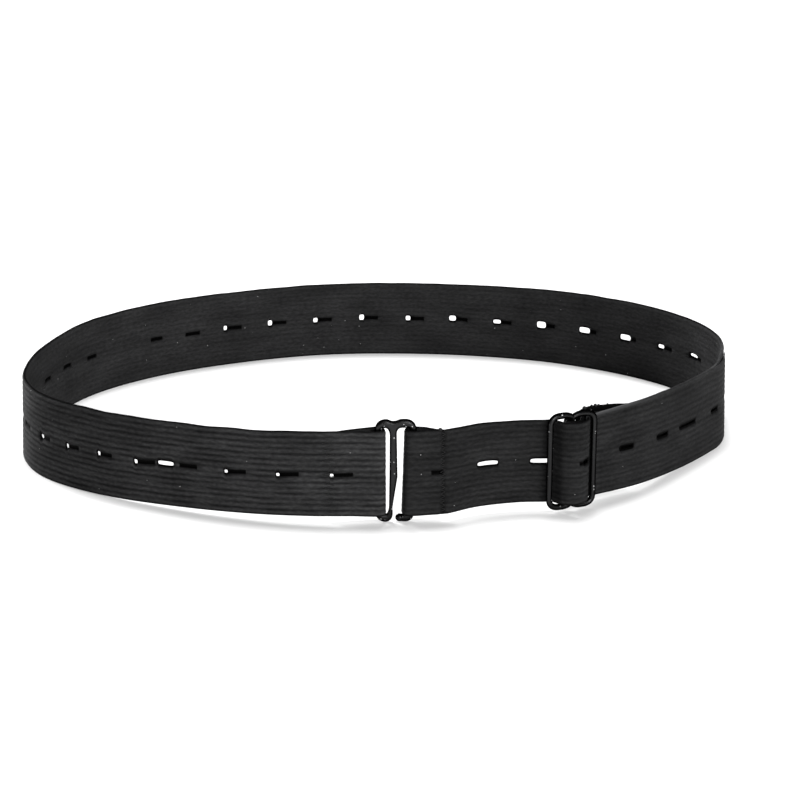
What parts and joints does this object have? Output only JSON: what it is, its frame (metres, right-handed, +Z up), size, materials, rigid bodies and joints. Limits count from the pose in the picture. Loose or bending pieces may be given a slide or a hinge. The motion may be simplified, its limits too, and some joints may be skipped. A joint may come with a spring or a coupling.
{
  "type": "shirt tuck belt",
  "caption": "Elastic buttonhole band worn as a loop round the waist to hold a shirt tucked, with an open metal hook clasp and a slide adjuster in front.",
  "frame": {"origin": "on the floor under the middle of the belt's bounding box", "axes": "+Z up; -Y towards the front, where the hook and the slider are; +X to the right seen from the front, along the longest extent"},
  "size_m": [0.2132, 0.154, 0.0296],
  "materials": {
    "black_elastic": "matt lengthwise-ribbed woven elastic",
    "black_enamel": "gloss black enamel on die-cast metal"
  },
  "bodies": {
    "root": {"main_band": "black_elastic", "front_strap": "black_elastic", "hook_clasp": "black_enamel", "slide_adjuster": "black_enamel"}
  },
  "joints": []
}
